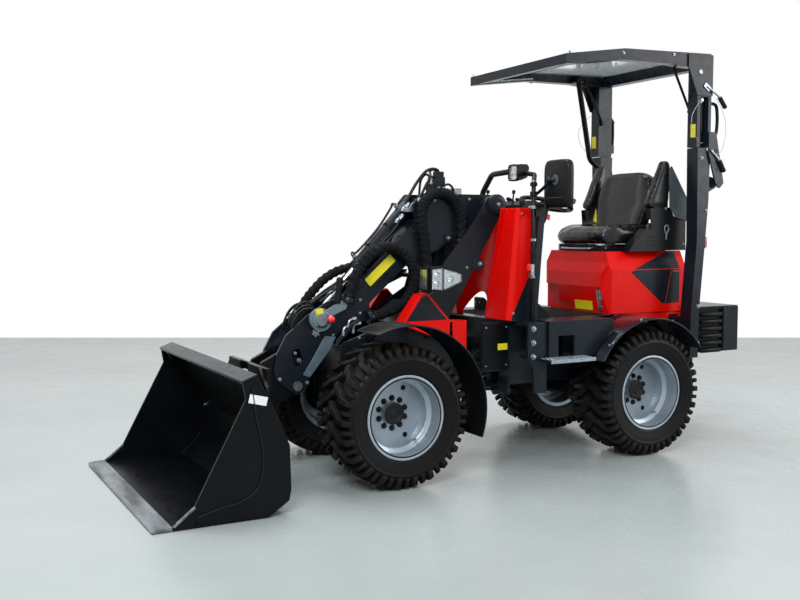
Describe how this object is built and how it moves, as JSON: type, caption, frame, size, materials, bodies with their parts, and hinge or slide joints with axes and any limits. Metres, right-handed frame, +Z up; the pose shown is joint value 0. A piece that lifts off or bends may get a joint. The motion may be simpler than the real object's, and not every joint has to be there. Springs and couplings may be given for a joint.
{
  "type": "mini articulated wheel loader",
  "caption": "Compact articulated wheel loader with a lifting arm, a general purpose bucket, an open operator station and a folding roll-over frame.",
  "frame": {"origin": "centre of the overall box at ground level, arm lowered and bucket on the ground", "axes": "+X forward towards the bucket, +Y to the left, +Z up"},
  "size_m": [3.396, 1.28, 2.115],
  "materials": {
    "red_paint": "gloss",
    "frame_paint": "satin",
    "black_paint": "satin",
    "rim_paint": "satin",
    "tyre_rubber": "matte",
    "chrome_rod": "polished",
    "zinc_steel": "satin",
    "cast_black": "matte",
    "seat_vinyl": "satin",
    "black_plastic": "matte",
    "grey_plastic": "matte",
    "worn_steel": "worn",
    "textile": "matte",
    "clear_panel": "gloss"
  },
  "bodies": {
    "rear_frame": {"rear_chassis": "frame_paint", "rear_axle": "frame_paint", "floor_plate": "frame_paint", "steps": "frame_paint", "front_posts": "frame_paint", "rear_fenders": "black_paint", "counterweight": "frame_paint", "tow_jaw": "frame_paint", "engine_block": "cast_black", "dash_cowl": "red_paint", "dash_panel": "frame_paint", "steering_column": "black_plastic", "steering_wheel": "black_plastic", "pedals": "black_plastic", "seat_deck": "red_paint", "seat_base": "frame_paint", "seat_cushion": "seat_vinyl", "seat_backrest": "seat_vinyl", "armrests": "seat_vinyl", "console_box": "black_plastic", "mirror": "black_plastic", "lamp_bar": "frame_paint", "work_lamps": "black_plastic", "lower_posts": "frame_paint"},
    "front_frame": {"tower": "frame_paint", "front_chassis": "frame_paint", "articulation_knuckle": "frame_paint", "front_axle": "frame_paint", "front_fenders": "black_paint", "front_covers": "red_paint", "headlights": "black_plastic"},
    "arm": {"boom": "frame_paint", "boom_head": "frame_paint", "hose_coupler": "grey_plastic", "boom_fittings": "zinc_steel", "upper_hose_sleeve": "textile", "lower_hose_sleeve": "textile"},
    "hitch_pin": {"hitch_pin": "zinc_steel"},
    "bucket": {"quick_hitch": "black_paint", "bucket": "black_paint", "cutting_edge": "worn_steel"},
    "lift_barrel": {"lift_barrel": "frame_paint"},
    "lift_rod": {"lift_rod": "chrome_rod"},
    "tilt_barrel": {"tilt_barrel": "frame_paint"},
    "tilt_piston": {"tilt_piston": "chrome_rod"},
    "tilt_rod": {"tilt_rod": "chrome_rod"},
    "steering_barrel": {"steering_barrel": "frame_paint"},
    "steering_rod": {"steering_rod": "chrome_rod"},
    "rollover_top": {"upper_posts": "frame_paint", "roof_frame": "frame_paint", "roof_panel": "clear_panel", "roof_struts": "frame_paint"},
    "front_left_wheel": {"front_left_tyre": "tyre_rubber", "front_left_rim": "rim_paint"},
    "front_right_wheel": {"front_right_tyre": "tyre_rubber", "front_right_rim": "rim_paint"},
    "rear_left_wheel": {"rear_left_tyre": "tyre_rubber", "rear_left_rim": "rim_paint"},
    "rear_right_wheel": {"rear_right_tyre": "tyre_rubber", "rear_right_rim": "rim_paint"}
  },
  "joints": [
    {"name": "steer", "type": "hinge", "parent": "rear_frame", "child": "front_frame", "pos_m": [-0.003, 0, 0.33], "axis": [0, 0, 1], "range_deg": [-35, 35]},
    {"name": "boom_lift", "type": "hinge", "parent": "front_frame", "child": "arm", "pos_m": [-0.195, 0, 1.303], "axis": [0, -1, 0], "range_deg": [0, 85]},
    {"name": "arm_level", "type": "hinge", "parent": "arm", "child": "hitch_pin", "pos_m": [0.867, 0, 0.44], "axis": [0, -1, 0], "range_deg": [-86, 1]},
    {"name": "bucket_tilt", "type": "hinge", "parent": "hitch_pin", "child": "bucket", "pos_m": [0.867, 0, 0.44], "axis": [0, 1, 0], "range_deg": [-35, 45]},
    {"name": "lift_barrel_swing", "type": "hinge", "parent": "front_frame", "child": "lift_barrel", "pos_m": [0.155, 0, 0.575], "axis": [0, -1, 0], "range_deg": [-20, 20]},
    {"name": "lift_rod_slide", "type": "slide", "parent": "lift_barrel", "child": "lift_rod", "axis": [-0.1934, 0, 0.9811], "range_m": [-0.01, 0.404]},
    {"name": "tilt_barrel_swing", "type": "hinge", "parent": "arm", "child": "tilt_barrel", "pos_m": [0.207, 0, 1.32], "axis": [0, -1, 0], "range_deg": [-20, 20]},
    {"name": "tilt_piston_slide", "type": "slide", "parent": "tilt_barrel", "child": "tilt_piston", "axis": [0.6817, 0, -0.7317], "range_m": [-0.01, 0.208]},
    {"name": "tilt_rod_slide", "type": "slide", "parent": "tilt_piston", "child": "tilt_rod", "axis": [0.6817, 0, -0.7317], "range_m": [-0.087, 0.109]},
    {"name": "steering_barrel_swing", "type": "hinge", "parent": "rear_frame", "child": "steering_barrel", "pos_m": [-0.413, 0.14, 0.425], "axis": [0, 0, 1], "range_deg": [-20, 20]},
    {"name": "steering_rod_slide", "type": "slide", "parent": "steering_barrel", "child": "steering_rod", "axis": [0.9996, 0.027, 0], "range_m": [-0.12, 0.12]},
    {"name": "rollover_fold", "type": "hinge", "parent": "rear_frame", "child": "rollover_top", "pos_m": [-1.461, 0, 1.428], "axis": [0, -1, 0], "range_deg": [0, 100]},
    {"name": "front_left_wheel_spin", "type": "hinge", "parent": "front_frame", "child": "front_left_wheel", "pos_m": [0.517, 0.39, 0.33], "axis": [0, 1, 0], "continuous": true},
    {"name": "front_right_wheel_spin", "type": "hinge", "parent": "front_frame", "child": "front_right_wheel", "pos_m": [0.517, -0.39, 0.33], "axis": [0, 1, 0], "continuous": true},
    {"name": "rear_left_wheel_spin", "type": "hinge", "parent": "rear_frame", "child": "rear_left_wheel", "pos_m": [-0.933, 0.39, 0.33], "axis": [0, 1, 0], "continuous": true},
    {"name": "rear_right_wheel_spin", "type": "hinge", "parent": "rear_frame", "child": "rear_right_wheel", "pos_m": [-0.933, -0.39, 0.33], "axis": [0, 1, 0], "continuous": true}
  ],
  "couplings": [
    {"joint": "arm_level", "follows": "boom_lift", "ratio": -1},
    {"joint": "lift_barrel_swing", "follows": "boom_lift", "ratio": -0.07},
    {"joint": "lift_rod_slide", "follows": "boom_lift", "m_per_rad": 0.26585},
    {"joint": "tilt_barrel_swing", "follows": "boom_lift", "ratio": -0.02},
    {"joint": "tilt_piston_slide", "follows": "boom_lift", "m_per_rad": 0.1335},
    {"joint": "tilt_rod_slide", "follows": "bucket_tilt", "m_per_rad": 0.12548},
    {"joint": "steering_barrel_swing", "follows": "steer", "ratio": -0.122},
    {"joint": "steering_rod_slide", "follows": "steer", "m_per_rad": -0.13866}
  ]
}
